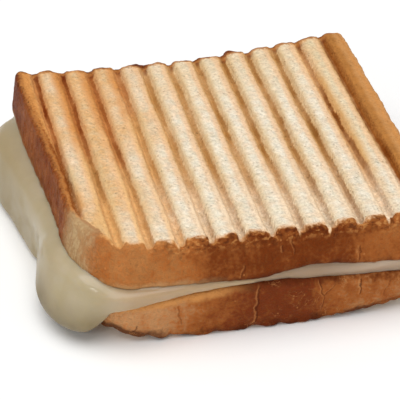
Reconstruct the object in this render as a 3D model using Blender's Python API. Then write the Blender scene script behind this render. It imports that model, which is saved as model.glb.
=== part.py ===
"""Grilled cheese toastie: two thick slices of ridged toast with melted cheese that has run out on the left.

Blender 4.5, metres, +Z up. The toastie lies flat, its grill ridges run front to back along Y, and the front
is the side of the loaf's rounded shoulders. All shapes are worked out in the toast's own frame, whose origin is
on the table under the middle of the bread, and an empty then moves the whole so that the origin is under the
middle of everything, the cheese included.
"""

import math

import bmesh
import bpy
import numpy as np

# Plan of a slice's ridged face; the crust stands out a little from this line all round
FACE_LEFT = -0.0554
FACE_RIGHT = 0.0592
FACE_FRONT = -0.0538
FACE_BACK = 0.0528
BACK_CORNER_REACH = 0.0058  # the loaf's base is hollow, so its corners stand further back
BACK_SKEW = 0.0021
FRONT_BOW = 0.0012  # the front edge falls back towards its left end
FRONT_BOW_RUN = 0.0450
LEFT_TAPER = 0.0034  # the left side comes in towards the front
LEAN_START = -0.0500  # left of here the mesh leans with it
LEAN_FRONT = -0.0220
LEAN_BACK = 0.0500
FRONT_LEFT_ACROSS = 0.0150  # the front left corner is long and blunt
FRONT_LEFT_DOWN = 0.0260
FRONT_LEFT_POWER = 1.6
FRONT_RIGHT_RADIUS = 0.0110
BACK_LEFT_RADIUS = 0.0010
BACK_RIGHT_RADIUS = 0.0022

# Heights above the table
TOP_OF_RIDGES = 0.0363
TOP_SLICE_UNDERSIDE = 0.0202
BOTTOM_SLICE_TOP = 0.0156
CURL_START = 0.012  # the bottom slice lies flat this far each side of the middle
CURL_RUN = 0.038
CURL_RISE_LEFT = 0.0048
CURL_RISE_RIGHT = 0.0035
CURL_POWER = 1.7

# Ridges that the grill pressed into both outer faces
GROOVE_COUNT = 12
GROOVE_PITCH = 0.0094
FIRST_GROOVE = -0.0508
GROOVE_DEPTH = 0.0024
GROOVE_FLOOR_HALF = 0.0006
GROOVE_TOP_HALF = 0.0020
RIDGE_CROWN = 0.0004
GROOVE_STRAY = 0.00012
GROOVE_FADE = 0.0060  # underneath, the grooves run out this far before the front and back edges
BACK_FADE = 0.0030  # on top they run up into the burnt crust of the back edge
BACK_DEPTH_SHARE = 0.45

# Burnt crags that stand out from the top of the back edge: (x, half width, reach)
BACK_CRAGS = (
    (-0.0290, 0.0022, 0.0014),
    (-0.0145, 0.0026, 0.0020),
    (0.0070, 0.0018, 0.0012),
    (0.0185, 0.0024, 0.0018),
)

# Crumb and crust
FACE_ROUGHNESS = 0.0003
UNEVEN_LENGTHS = (0.0340, 0.0190, 0.0110, 0.0062)
UNEVEN_TURN = 260
CRUST_REACH = 0.0032  # from the ridged face's edge out to the widest line of the crust
CORNER_FLARE = 0.6  # round the front left corner the crust stands out further by this share
CORNER_MIDDLE = (-0.0465, -0.0425)
CORNER_SPREAD = 0.0130
EDGE_ROUND = 0.0018
INNER_INSET = 0.0020  # from the widest line in to the edge of the face that meets the cheese
CRUST_DENTS = 0.00025
EDGE_CRAGS = 0.0003

# Mesh density
ROWS = 11
SIDE_STEPS = 4
RIM_STEPS = 3
CHEESE_STATIONS = 50
NORMAL_PASSES = 2

CLEARANCE = 0.0003  # between the cheese and the bread
SEED = 7

# Gentle rises and sags along X of the faces that meet the cheese: (middle, half width, height)
UNDERSIDE_WAVES = (
    (-0.037, 0.014, 0.0008),
    (0.000, 0.007, -0.0009),
    (0.020, 0.0115, 0.0022),
    (0.054, 0.014, -0.0004),
)
BOTTOM_TOP_WAVES = ((0.002, 0.026, 0.0030), (0.054, 0.012, -0.0006))
BACK_LIFT = 0.0003  # the gap is this much wider at the back

# Melted cheese that runs out along the left side, round the front left corner and along the front.
# Each stage: distance along the crust from the back left corner, height where it leaves the top slice,
# how far its shoulder and its foot stand out from the crust, and the height of its foot.
CHEESE_STAGES = (
    (0.000, 0.0192, 0.0004, 0.0004, 0.0140),
    (0.004, 0.0196, 0.0062, 0.0082, 0.0060),
    (0.012, 0.0208, 0.0084, 0.0112, 0.0004),
    (0.022, 0.0210, 0.0084, 0.0108, 0.0),
    (0.034, 0.0214, 0.0074, 0.0088, 0.0),
    (0.047, 0.0219, 0.0064, 0.0074, 0.0),
    (0.055, 0.0223, 0.0060, 0.0066, 0.0),
    (0.061, 0.0226, 0.0056, 0.0060, 0.0003),
    (0.066, 0.0228, 0.0052, 0.0052, 0.0034),
    (0.073, 0.0231, 0.0054, 0.0064, 0.0044),
    (0.083, 0.0236, 0.0060, 0.0080, 0.0046),
    (0.092, 0.0240, 0.0064, 0.0092, 0.0042),
    (0.099, 0.0242, 0.0062, 0.0092, 0.0040),
    (0.105, 0.0240, 0.0054, 0.0084, 0.0042),
    (0.109, 0.0234, 0.0046, 0.0066, 0.0054),
    (0.112, 0.0226, 0.0038, 0.0036, 0.0092),
    (0.115, 0.0219, 0.0032, 0.0026, 0.0132),
    (0.120, 0.0214, 0.0026, 0.0020, 0.0150),
    (0.128, 0.0209, 0.0018, 0.0012, 0.0162),
    (0.138, 0.0205, 0.0010, 0.0004, 0.0172),
    (0.149, 0.0200, 0.0003, -0.0002, 0.0182),
    (0.160, 0.0194, -0.0003, -0.0006, 0.0184),
)
LINE_REACH = 0.0040
CHEESE_ROOT = 0.0050  # how far the run-out reaches in between the slices
FILLING_LEVELS = (0.0125, 0.0165, 0.0196, 0.0228, 0.0265)
FILLING_INSET = 0.0008
FILLING_BULGE = 0.0012
BULGE_HALF = 0.0030
FILLING_WANDER = 0.0005


def clear_scene():
    for thing in list(bpy.data.objects):
        bpy.data.objects.remove(thing)


def smoothstep(low, high, value):
    t = np.clip((value - low) / (high - low), 0.0, 1.0)
    return t * t * (3 - 2 * t)


def waves(x, bumps):
    """Sum of soft bumps along X."""
    return sum(height * np.exp(-(((x - middle) / half) ** 2)) for middle, half, height in bumps)


def unevenness(along, up, seed):
    """Smooth noise between about -1 and 1, the same each run."""
    rng = np.random.default_rng(seed)
    total = np.zeros(np.broadcast(along, up).shape)
    for length in UNEVEN_LENGTHS:
        phase, tilt = rng.uniform(0, 2 * math.pi, 2)
        total += np.sin(2 * math.pi * along / length + phase) * np.cos(up * UNEVEN_TURN + tilt) * length
    return 1.5 * total / sum(UNEVEN_LENGTHS)


def stray(x, y):
    """How far a ridge wanders sideways."""
    return GROOVE_STRAY * (np.sin(y / 0.0150 + x * 310) + 0.6 * np.sin(y / 0.0083 - x * 520))


def groove_share(x):
    """0 on a ridge and 1 on the floor of a groove."""
    nearest = np.clip(np.round((x - FIRST_GROOVE) / GROOVE_PITCH), 0, GROOVE_COUNT - 1)
    off = np.abs(x - FIRST_GROOVE - nearest * GROOVE_PITCH)
    return 1 - smoothstep(GROOVE_FLOOR_HALF, GROOVE_TOP_HALF, off)


def crown(x):
    """The small rounding of each ridge, highest at its middle."""
    phase = (x - FIRST_GROOVE) / GROOVE_PITCH
    return RIDGE_CROWN * (0.5 - 0.5 * np.cos(2 * math.pi * phase)) - RIDGE_CROWN


def curl(x):
    """How far the bottom slice's ends lift off the table."""
    rise = np.where(x < 0, CURL_RISE_LEFT, CURL_RISE_RIGHT)
    return rise * (np.clip(np.abs(x) - CURL_START, 0, None) / CURL_RUN) ** CURL_POWER


class Slice:
    """One slice: where its ridged face, its inner face and its crust lie. outward is +1 if the ridges face up."""

    def __init__(self, outward, seed, grow=0.0):
        self.outward = outward
        self.seed = seed
        self.grow = grow

    def groove_reach(self, x, y):
        """How much of the grooves' depth is left near the front and back edges."""
        to_front = y - front_line(x)
        to_back = back_line(x) - y
        if self.outward < 0:
            return smoothstep(0, GROOVE_FADE, np.minimum(to_front, to_back))
        at_back = BACK_DEPTH_SHARE + (1 - BACK_DEPTH_SHARE) * smoothstep(0, BACK_FADE, to_back)
        first = smoothstep(FIRST_GROOVE + GROOVE_PITCH / 2, FIRST_GROOVE, x)
        return at_back * (1 - first * (1 - smoothstep(0, GROOVE_FADE, to_front)))

    def ridged_height(self, x, y, depth_share=1.0):
        level = TOP_OF_RIDGES if self.outward > 0 else curl(x)
        relief = crown(x) if self.outward > 0 else 0.0
        flat = smoothstep(CURL_START, 2 * CURL_START, np.abs(x)) if self.outward < 0 else 1.0
        rough = FACE_ROUGHNESS * unevenness(y, x, self.seed + 3) * flat
        pressed = GROOVE_DEPTH * groove_share(x) * self.groove_reach(x, y) * depth_share
        return level + self.outward * (relief + rough - pressed + self.grow)

    def inner_height(self, x, y):
        back = (y - FACE_FRONT) / (FACE_BACK - FACE_FRONT)
        if self.outward > 0:
            level = TOP_SLICE_UNDERSIDE + waves(x, UNDERSIDE_WAVES) * (1 - back) + BACK_LIFT * back
        else:
            level = BOTTOM_SLICE_TOP + waves(x, BOTTOM_TOP_WAVES) * (1 - 0.6 * back) - BACK_LIFT * back
        return level - self.outward * self.grow


def column_positions():
    """X of the mesh's lines from front to back: five to a ridge, and closer together near the sides."""
    xs = []
    for groove in range(GROOVE_COUNT):
        middle = FIRST_GROOVE + groove * GROOVE_PITCH
        xs += [middle - GROOVE_TOP_HALF, middle - GROOVE_FLOOR_HALF, middle + GROOVE_FLOOR_HALF]
        xs += [middle + GROOVE_TOP_HALF]
        if groove < GROOVE_COUNT - 1:
            xs.append(middle + GROOVE_PITCH / 2)
    first, last = xs[0], xs[-1]
    for step in range(SIDE_STEPS):
        share = 1 - math.cos(math.pi / 2 * step / SIDE_STEPS)
        xs.append(FACE_LEFT + (first - FACE_LEFT) * share)
        xs.append(FACE_RIGHT - (FACE_RIGHT - last) * share)
    return np.array(sorted(xs))


def near_left(x):
    return smoothstep(LEAN_START, FACE_LEFT, x)


def corner_setback(from_side, across, down, power=2.0):
    """How far a rounded corner pulls the edge back, this far in from the side."""
    inside = np.clip(1 - from_side / across, 0, 1)
    return down * (1 - (1 - inside**power) ** (1 / power))


def front_line(x):
    in_from_left = x - FACE_LEFT + (near_left(x) - 1) * LEFT_TAPER
    y = FACE_FRONT + FRONT_BOW * np.clip(-x / FRONT_BOW_RUN, 0, 1.2) ** 1.5
    y += corner_setback(in_from_left, FRONT_LEFT_ACROSS, FRONT_LEFT_DOWN, FRONT_LEFT_POWER)
    return y + corner_setback(FACE_RIGHT - x, FRONT_RIGHT_RADIUS, FRONT_RIGHT_RADIUS)


def back_line(x):
    share = x / 0.055
    y = FACE_BACK + BACK_CORNER_REACH * share**2 + BACK_SKEW * share
    y -= corner_setback(x - FACE_LEFT, BACK_LEFT_RADIUS, BACK_LEFT_RADIUS)
    return y - corner_setback(FACE_RIGHT - x, BACK_RIGHT_RADIUS, BACK_RIGHT_RADIUS)


def lean(x, y):
    """Sideways shift of the left edge, none at the back and inwards towards the front."""
    return near_left(x) * LEFT_TAPER * (1 - smoothstep(LEAN_FRONT, LEAN_BACK, y))


def plan_grid():
    """Points of the ridged face in plan, just inside the crust, and the X each point's groove is worked from."""
    xs = column_positions()
    shares = np.linspace(0, 1, ROWS + 1)[:, None]
    front, back = front_line(xs), back_line(xs)
    ys = front + (back - front) * shares
    xs = np.broadcast_to(xs, ys.shape)
    fade = 1 - np.abs(2 * shares - 1) ** 4
    return np.stack([xs + stray(xs, ys) * fade + lean(xs, ys), ys, xs], -1)


def rim_indices(rows, columns):
    """Row and column numbers of the grid's border, anticlockwise seen from above, from the front left."""
    rim = [(0, c) for c in range(columns)]
    rim += [(r, columns - 1) for r in range(1, rows)]
    rim += [(rows - 1, c) for c in range(columns - 2, -1, -1)]
    rim += [(r, 0) for r in range(rows - 2, 0, -1)]
    return rim


def outward_normals(rim):
    """Unit normals in plan of a closed line that runs anticlockwise, softened where it bends."""
    ahead = np.roll(rim, -1, 0) - rim
    ahead /= np.linalg.norm(ahead, axis=1, keepdims=True)
    mean = ahead + np.roll(ahead, 1, 0)
    for _ in range(NORMAL_PASSES):
        mean /= np.linalg.norm(mean, axis=1, keepdims=True)
        mean = np.roll(mean, 1, 0) + 2 * mean + np.roll(mean, -1, 0)
    mean /= np.linalg.norm(mean, axis=1, keepdims=True)
    return np.stack([mean[:, 1], -mean[:, 0]], 1)


def corner_flare(rim):
    """How many times further than elsewhere the crust stands out from the ridged face's edge."""
    away = np.linalg.norm(rim[:, :2] - np.array(CORNER_MIDDLE), axis=1)
    return 1 + CORNER_FLARE * np.exp(-((away / CORNER_SPREAD) ** 2))


def crust_rings(piece, rim, normals, run):
    """Closed lines of the crust, from just outside the ridged face to the edge of the inner face."""
    face = piece.ridged_height(rim[:, 2], rim[:, 1])
    bare = piece.ridged_height(rim[:, 2], rim[:, 1], 0.0)
    inner = piece.inner_height(rim[:, 0], rim[:, 1])
    crag = EDGE_CRAGS * unevenness(run, 0.0, piece.seed + 1)
    if piece.outward > 0:
        crag = crag + waves(rim[:, 0], BACK_CRAGS) * (normals[:, 1] > 0.5)
    flare = corner_flare(rim)
    rings = []
    for step in range(1, RIM_STEPS + 1):
        angle = math.pi / 2 * step / RIM_STEPS
        drop = EDGE_ROUND * (1 - math.cos(angle))
        pressed = (face - bare) * (1 - 0.8 * step / RIM_STEPS)
        rings.append((EDGE_ROUND * math.sin(angle) + crag, bare + pressed - piece.outward * drop))
    shoulder = rings[-1][1]
    low = inner + piece.outward * INNER_INSET
    for share in (0.5, 1.0):
        out = EDGE_ROUND + (CRUST_REACH - EDGE_ROUND) * math.sin(math.pi / 2 * share)
        dents = CRUST_DENTS * unevenness(run, share * 0.01, piece.seed + 2)
        rings.append((out + crag * (1 - share) + dents, shoulder + (low - shoulder) * share))
    for step in range(1, RIM_STEPS):
        angle = math.pi / 2 * step / (RIM_STEPS - 1)
        out = CRUST_REACH - INNER_INSET * (1 - math.cos(angle)) + dents * math.cos(angle)
        rings.append((out, low + (inner - low) * math.sin(angle)))
    return [
        np.column_stack([rim[:, :2] + normals * (out * flare + piece.grow)[:, None], height])
        for out, height in rings
    ]


def slice_mesh(piece):
    """A closed mesh: the ridged face as a grid, the crust as rings, and the inner face as strips."""
    plan = plan_grid()
    rows, columns = plan.shape[:2]
    mesh = bmesh.new()
    heights = piece.ridged_height(plan[..., 2], plan[..., 1])
    grid = [
        [mesh.verts.new((*plan[r, c, :2], heights[r, c])) for c in range(columns)]
        for r in range(rows)
    ]
    for r in range(rows - 1):
        for c in range(columns - 1):
            mesh.faces.new((grid[r][c], grid[r][c + 1], grid[r + 1][c + 1], grid[r + 1][c]))
    border = rim_indices(rows, columns)
    rim = np.array([plan[r, c] for r, c in border])
    run = np.concatenate([[0], np.cumsum(np.linalg.norm(np.diff(rim[:, :2], axis=0), axis=1))])
    loop = [grid[r][c] for r, c in border]
    count = len(loop)
    for ring in crust_rings(piece, rim, outward_normals(rim[:, :2]), run):
        below = [mesh.verts.new(point) for point in ring]
        for k in range(count):
            mesh.faces.new((loop[k], below[k], below[(k + 1) % count], loop[(k + 1) % count]))
        loop = below
    close_inner_face(mesh, loop, rows, columns)
    if piece.outward < 0:
        bmesh.ops.reverse_faces(mesh, faces=mesh.faces)
    return mesh


def close_inner_face(mesh, loop, rows, columns):
    """Strips from the front edge to the back edge, with a fan down each side."""
    front = loop[:columns]
    back = loop[columns + rows - 2 : 2 * columns + rows - 2][::-1]
    left = loop[2 * columns + rows - 2 :]
    right = loop[columns : columns + rows - 2]
    for c in range(1, columns - 2):
        mesh.faces.new((front[c], back[c], back[c + 1], front[c + 1]))
    mesh.faces.new([front[0], *left[::-1], back[0], back[1], front[1]])
    mesh.faces.new([front[-2], back[-2], back[-1], *right[::-1], front[-1]])


def add_object(name, mesh, material=None):
    data = bpy.data.meshes.new(name)
    bmesh.ops.triangulate(mesh, faces=[f for f in mesh.faces if len(f.verts) > 4])
    mesh.to_mesh(data)
    mesh.free()
    thing = bpy.data.objects.new(name, data)
    bpy.context.scene.collection.objects.link(thing)
    data.shade_smooth()
    if material:
        data.materials.append(material)
    return thing


def widest_line():
    """The crust's widest line in plan, from the back left corner along the left side to the front right."""
    plan = plan_grid()
    rows, columns = plan.shape[:2]
    rim = np.array([plan[r, c, :2] for r, c in rim_indices(rows, columns)])
    normals = outward_normals(rim)
    line = rim + normals * (CRUST_REACH * corner_flare(rim))[:, None]
    start = 2 * columns + rows - 3  # the back left corner
    return np.concatenate([line[start:], line[:columns]])


def along(line, distances):
    """Points and outward normals at these distances along an open line, smoothed over a few millimetres."""
    steps = np.linalg.norm(np.diff(line, axis=0), axis=1)
    run = np.concatenate([[0], np.cumsum(steps)])

    def spot(at):
        return np.stack([np.interp(at, run, line[:, k]) for k in (0, 1)], 1)

    way = spot(distances + LINE_REACH) - spot(distances - LINE_REACH)
    way /= np.linalg.norm(way, axis=1, keepdims=True)
    return spot(distances), np.stack([way[:, 1], -way[:, 0]], 1)


def cheese_section(top, shoulder, foot, foot_height):
    """The run-out's cross-section as (distance out from the crust, height), from inside the gap and round."""
    fall = top - foot_height
    return (
        (-CHEESE_ROOT, foot_height + 0.7 * fall),
        (-CHEESE_ROOT, top),
        (-0.0012, top + 0.0001),
        (shoulder * 0.45, top - min(0.0006, 0.08 * fall)),
        (shoulder * 0.85, top - min(0.0026, 0.18 * fall)),
        (shoulder * 0.98 + foot * 0.05, top - 0.30 * fall),
        (shoulder * 0.45 + foot * 0.58, top - 0.56 * fall),
        (foot, foot_height + 0.18 * fall),
        (foot * 0.88, foot_height + 0.05 * fall),
        (foot * 0.55, foot_height),
        (-0.0020, foot_height + 0.0002),
        (-CHEESE_ROOT, foot_height + 0.35 * fall),
    )


def run_out_mesh():
    """The cheese outside the bread: the section carried along the crust from stage to stage."""
    stages = np.array(CHEESE_STAGES)
    distances = np.linspace(stages[0, 0], stages[-1, 0], CHEESE_STATIONS)
    spots, normals = along(widest_line(), distances)
    eased = smooth_columns(stages, distances)
    mesh = bmesh.new()
    previous = None
    for k in range(CHEESE_STATIONS):
        section = cheese_section(*eased[k])
        ring = [mesh.verts.new((*(spots[k] + normals[k] * out), height)) for out, height in section]
        if previous:
            for j in range(len(ring)):
                nxt = (j + 1) % len(ring)
                mesh.faces.new((previous[j], previous[nxt], ring[nxt], ring[j]))
        else:
            mesh.faces.new(ring)
        previous = ring
    mesh.faces.new(previous[::-1])
    bmesh.ops.recalc_face_normals(mesh, faces=mesh.faces)
    return mesh


def smooth_columns(stages, distances):
    """The stages' values at each distance, eased from one stage to the next."""
    where = np.interp(distances, stages[:, 0], np.arange(len(stages)))
    low = np.minimum(where.astype(int), len(stages) - 2)
    share = (where - low)[:, None]
    before = stages[np.maximum(low - 1, 0), 1:]
    here, there = stages[low, 1:], stages[low + 1, 1:]
    after = stages[np.minimum(low + 2, len(stages) - 1), 1:]
    bend = (
        2 * here
        + (there - before) * share
        + (2 * before - 5 * here + 4 * there - after) * share**2
        + (3 * here - before - 3 * there + after) * share**3
    )
    eased = bend / 2
    eased[:, 3] = np.maximum(eased[:, 3], 0.0)
    return eased


def filling_mesh():
    """The layer of cheese between the slices, deeper than the gap, so that the bread can be cut from it."""
    plan = plan_grid()
    rows, columns = plan.shape[:2]
    rim = np.array([plan[r, c, :2] for r, c in rim_indices(rows, columns)])[::2]
    normals = outward_normals(rim)
    mesh = bmesh.new()
    rings = []
    for level in FILLING_LEVELS:
        bulge = FILLING_BULGE * (1 - min(abs(level - FILLING_LEVELS[2]) / BULGE_HALF, 1.0) ** 2)
        out = CRUST_REACH - FILLING_INSET - FILLING_BULGE + bulge
        out = out + FILLING_WANDER * unevenness(np.arange(len(rim)) * 0.004, level, SEED + 9)
        rings.append([mesh.verts.new((*point, level)) for point in rim + normals * out[:, None]])
    for lower, upper in zip(rings, rings[1:]):
        for k in range(len(rim)):
            nxt = (k + 1) % len(rim)
            mesh.faces.new((lower[k], lower[nxt], upper[nxt], upper[k]))
    mesh.faces.new(rings[0][::-1])
    mesh.faces.new(rings[-1])
    return mesh


def add_boolean(thing, operation, other):
    modifier = thing.modifiers.new(operation.lower() + "_" + other.name, "BOOLEAN")
    modifier.operation = operation
    modifier.object = other
    other.hide_render = True
    other.display_type = "WIRE"


def make_material(name, colour, roughness):
    material = bpy.data.materials.new(name)
    material.use_nodes = True
    shader = material.node_tree.nodes["Principled BSDF"]
    shader.inputs["Base Color"].default_value = (*colour, 1.0)
    shader.inputs["Roughness"].default_value = roughness
    shader.inputs["Metallic"].default_value = 0.0
    return material


def build_bread():
    toast = make_material("toast", (0.66, 0.43, 0.20), 0.8)
    add_object("top_slice", slice_mesh(Slice(1, SEED)), toast)
    add_object("bottom_slice", slice_mesh(Slice(-1, SEED + 20)), toast)


def build_cheese():
    melted = make_material("melted_cheese", (0.80, 0.70, 0.47), 0.3)
    cheese = add_object("cheese", run_out_mesh(), melted)
    add_boolean(cheese, "UNION", add_object("filling", filling_mesh()))
    for name, outward, seed in (("top_room", 1, SEED), ("bottom_room", -1, SEED + 20)):
        room = add_object(name, slice_mesh(Slice(outward, seed, CLEARANCE)))
        add_boolean(cheese, "DIFFERENCE", room)


def stand_on_origin():
    """Parents everything to an empty, moved so that the origin is under the middle of the whole."""
    bpy.context.view_layer.update()
    graph = bpy.context.evaluated_depsgraph_get()
    corners = [
        corner
        for thing in bpy.data.objects
        if thing.type == "MESH" and not thing.hide_render
        for corner in thing.evaluated_get(graph).bound_box
    ]
    low, high = np.min(corners, 0), np.max(corners, 0)
    base = bpy.data.objects.new("toastie", None)
    bpy.context.scene.collection.objects.link(base)
    for thing in bpy.data.objects:
        if thing.type == "MESH":
            thing.parent = base
    base.location = (-(low[0] + high[0]) / 2, -(low[1] + high[1]) / 2, -low[2])


def main():
    clear_scene()
    build_bread()
    build_cheese()
    stand_on_origin()


main()
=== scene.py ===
import math

import bpy
import numpy as np
from mathutils import Matrix, Vector


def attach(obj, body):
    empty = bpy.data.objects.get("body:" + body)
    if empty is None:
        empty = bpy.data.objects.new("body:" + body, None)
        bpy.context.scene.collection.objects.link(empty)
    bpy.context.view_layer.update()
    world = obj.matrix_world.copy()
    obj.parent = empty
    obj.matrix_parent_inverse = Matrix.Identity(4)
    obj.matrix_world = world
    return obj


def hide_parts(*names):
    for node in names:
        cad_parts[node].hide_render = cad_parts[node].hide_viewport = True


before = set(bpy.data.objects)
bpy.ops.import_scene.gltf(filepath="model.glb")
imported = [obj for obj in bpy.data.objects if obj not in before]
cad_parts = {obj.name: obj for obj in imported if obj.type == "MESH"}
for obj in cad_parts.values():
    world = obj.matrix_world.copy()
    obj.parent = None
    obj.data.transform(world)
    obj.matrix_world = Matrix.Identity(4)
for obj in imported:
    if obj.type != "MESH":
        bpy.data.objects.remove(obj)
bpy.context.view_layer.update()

# the toast's own frame has its origin under the middle of the bread; this moves it onto the CAD frame
standAt = np.array((0.0036496, -0.0026841, 0.0))


def easeStep(low, high, value):
    # 0 at low and 1 at high, smooth between; low may be the larger
    t = np.clip((value - low) / (high - low), 0.0, 1.0)
    return t * t * (3 - 2 * t)


def hills(x, rows):
    # rows of (middle, half width, height)
    return sum(height * np.exp(-(((x - middle) / half) ** 2)) for middle, half, height in rows)


def lumps(points, size, seed, octaves=1):
    # smooth noise between about -1 and 1; size is in metres, or one length for each axis
    cells = 32  # it repeats after this many
    total, share = 0.0, 1.0
    size = np.array(size, float)
    for octave in range(octaves):
        lattice = np.random.default_rng(seed + octave).uniform(-1, 1, (cells, cells, cells))
        place = points / size
        cell = np.floor(place).astype(int)
        part = place - cell
        part = part * part * (3 - 2 * part)
        for corner in range(8):
            step = np.array([(corner >> k) & 1 for k in range(3)])
            weight = np.prod(np.where(step, part, 1 - part), -1)
            spot = (cell + step) % cells
            total = total + share * weight * lattice[spot[..., 0], spot[..., 1], spot[..., 2]]
        size, share = size / 2, share * 0.5
    return total


def unit(ways):
    return ways / np.linalg.norm(ways, axis=1, keepdims=True)


def outwardOf(ways):
    # the way out from a line that runs anticlockwise in these directions
    return np.stack([ways[:, 1], -ways[:, 0]], 1)


def runAlong(line):
    # distance along the line at each of its points
    return np.concatenate([[0], np.cumsum(np.linalg.norm(np.diff(line, axis=0), axis=1))])


def pairsAt(places, run, pairs):
    return np.stack([np.interp(places, run, pairs[:, k]) for k in (0, 1)], 1)


def meshPiece(name, points, faces, marks=None):
    data = bpy.data.meshes.new(name)
    data.from_pydata(points.tolist(), [], faces)
    data.update()
    for mark, values in (marks or {}).items():
        layer = data.attributes.new(mark, "FLOAT", "POINT")
        layer.data.foreach_set("value", np.asarray(values, np.float32).ravel())
    data.shade_smooth()
    piece = bpy.data.objects.new(name, data)
    bpy.context.scene.collection.objects.link(piece)
    return piece


def readVectors(items, key):
    flat = np.empty(len(items) * 3, np.float32)
    items.foreach_get(key, flat)
    return flat.reshape(-1, 3).astype(float)


def movePoints(data, points):
    points[:, 2] = np.maximum(points[:, 2], 0.0)  # nothing sinks below what the toastie rests on
    data.vertices.foreach_set("co", points.astype(np.float32).ravel())
    data.update()


# the bread's form, the same as in the solids; lengths are in metres
bread = dict(
    # edges of the ridged face in plan: the front falls back to the left, the back is hollow and askew,
    # and the left side comes in towards the front
    left=-0.0554, right=0.0592, front=-0.0538, back=0.0528,
    frontBow=0.0012, frontBowRun=0.0450, frontBowMost=1.2, frontBowPower=1.5,
    backCornerReach=0.0058, backCornerAt=0.055, backSkew=0.0021,
    leftTaper=0.0034, leanStart=-0.0500, leanFront=-0.0220, leanBack=0.0500,
    frontLeftAcross=0.0150, frontLeftDown=0.0260, frontLeftPower=1.6,
    frontRightRadius=0.0110, backLeftRadius=0.0010, backRightRadius=0.0022,
    # heights, and rises of the faces that meet the cheese as (middle, half width, height)
    topOfRidges=0.0363, topUnderside=0.0202, bottomTop=0.0156, backLift=0.0003, bottomWaveFade=0.6,
    undersideWaves=(
        (-0.037, 0.014, 0.0008), (0.0, 0.007, -0.0009), (0.020, 0.0115, 0.0022), (0.054, 0.014, -0.0004),
    ),
    bottomTopWaves=((0.002, 0.026, 0.0030), (0.054, 0.012, -0.0006)),
    # the bottom slice lies flat this far each side of the middle and curls up beyond
    curlStart=0.012, curlRun=0.038, curlLeft=0.0048, curlRight=0.0035, curlPower=1.7,
    # the crust stands out from the ridged face, most of all round the front left corner
    crustReach=0.0032, cornerFlare=0.6, cornerAt=(-0.0465, -0.0425), cornerSpread=0.0130,
    edgeRound=0.0018, roundedShare=0.1, innerInset=0.0020, normalSpread=0.0022,
    # burnt crags at the top of the back edge: x, half width, reach
    backCrags=(
        (-0.0290, 0.0022, 0.0014), (-0.0145, 0.0026, 0.0020), (0.0070, 0.0018, 0.0012),
        (0.0185, 0.0024, 0.0018),
    ),
)

grill = dict(
    count=12, pitch=0.0094, first=-0.0508, depth=0.0024, floorHalf=0.0004, leftHalf=0.0022, rightHalf=0.0019,
    shift=0.0004,  # how far the floors lie to the right of the grooves' places
    crown=0.0004,  # the rounding of each ridge
    stray=0.00012,  # how far a ridge wanders sideways
    fade=0.0060, backFade=0.0030, backDepth=0.45,
    # how ragged the ridges' edges are, over a long and a short length; the slices take it from places
    # this far each side of the middle
    wobble=0.00010, wobbleLong=0.0046, wobbleShort=0.0013, wobbleApart=0.01,
)


def nearLeft(x):
    return easeStep(bread["leanStart"], bread["left"], x)


def cornerSetback(fromSide, across, down, power=2.0):
    inside = np.clip(1 - fromSide / across, 0, 1)
    return down * (1 - (1 - inside**power) ** (1 / power))


def frontLine(x):
    b = bread
    bow = np.clip(-x / b["frontBowRun"], 0, b["frontBowMost"]) ** b["frontBowPower"]
    y = b["front"] + b["frontBow"] * bow
    fromLeft = x - b["left"] + (nearLeft(x) - 1) * b["leftTaper"]
    y += cornerSetback(fromLeft, b["frontLeftAcross"], b["frontLeftDown"], b["frontLeftPower"])
    return y + cornerSetback(b["right"] - x, b["frontRightRadius"], b["frontRightRadius"])


def backLine(x):
    b = bread
    share = x / b["backCornerAt"]
    y = b["back"] + b["backCornerReach"] * share**2 + b["backSkew"] * share
    y -= cornerSetback(x - b["left"], b["backLeftRadius"], b["backLeftRadius"])
    return y - cornerSetback(b["right"] - x, b["backRightRadius"], b["backRightRadius"])


def leanOf(x, y):
    return nearLeft(x) * bread["leftTaper"] * (1 - easeStep(bread["leanFront"], bread["leanBack"], y))


def strayOf(x, y):
    # two waves along a ridge, out of step from one ridge to the next
    return grill["stray"] * (np.sin(y / 0.0150 + x * 310) + 0.6 * np.sin(y / 0.0083 - x * 520))


def curlOf(x):
    rise = np.where(x < 0, bread["curlLeft"], bread["curlRight"])
    return rise * (np.clip(np.abs(x) - bread["curlStart"], 0, None) / bread["curlRun"]) ** bread["curlPower"]


def grooveShare(x):
    # 0 on a ridge and 1 on the floor of a groove
    nearest = np.clip(np.round((x - grill["first"]) / grill["pitch"]), 0, grill["count"] - 1)
    off = x - grill["first"] - grill["shift"] - nearest * grill["pitch"]
    topHalf = np.where(off > 0, grill["rightHalf"], grill["leftHalf"])
    return 1 - easeStep(grill["floorHalf"], topHalf, np.abs(off))


def crownOf(x):
    phase = (x - grill["first"]) / grill["pitch"]
    return grill["crown"] * (-0.5 - 0.5 * np.cos(2 * math.pi * phase))


def grooveReach(x, y, outward):
    # how much of the grooves' depth is left near the front and back edges
    toFront, toBack = y - frontLine(x), backLine(x) - y
    if outward < 0:
        return easeStep(0, grill["fade"], np.minimum(toFront, toBack))
    atBack = grill["backDepth"] + (1 - grill["backDepth"]) * easeStep(0, grill["backFade"], toBack)
    first = easeStep(grill["first"] + grill["pitch"] / 2, grill["first"], x)
    return atBack * (1 - first * (1 - easeStep(0, grill["fade"], toFront)))


def ridgedHeight(outward, x, pressedX, y, depthShare=1.0):
    level = bread["topOfRidges"] + crownOf(pressedX) if outward > 0 else curlOf(x)
    pressing = grill["depth"] * grooveShare(pressedX) * grooveReach(x, y, outward) * depthShare
    return level - outward * pressing


def innerHeight(x, y, outward):
    share = (y - bread["front"]) / (bread["back"] - bread["front"])
    lift = bread["backLift"] * share
    if outward > 0:
        return bread["topUnderside"] + hills(x, bread["undersideWaves"]) * (1 - share) + lift
    waves = hills(x, bread["bottomTopWaves"]) * (1 - bread["bottomWaveFade"] * share)
    return bread["bottomTop"] + waves - lift


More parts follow.
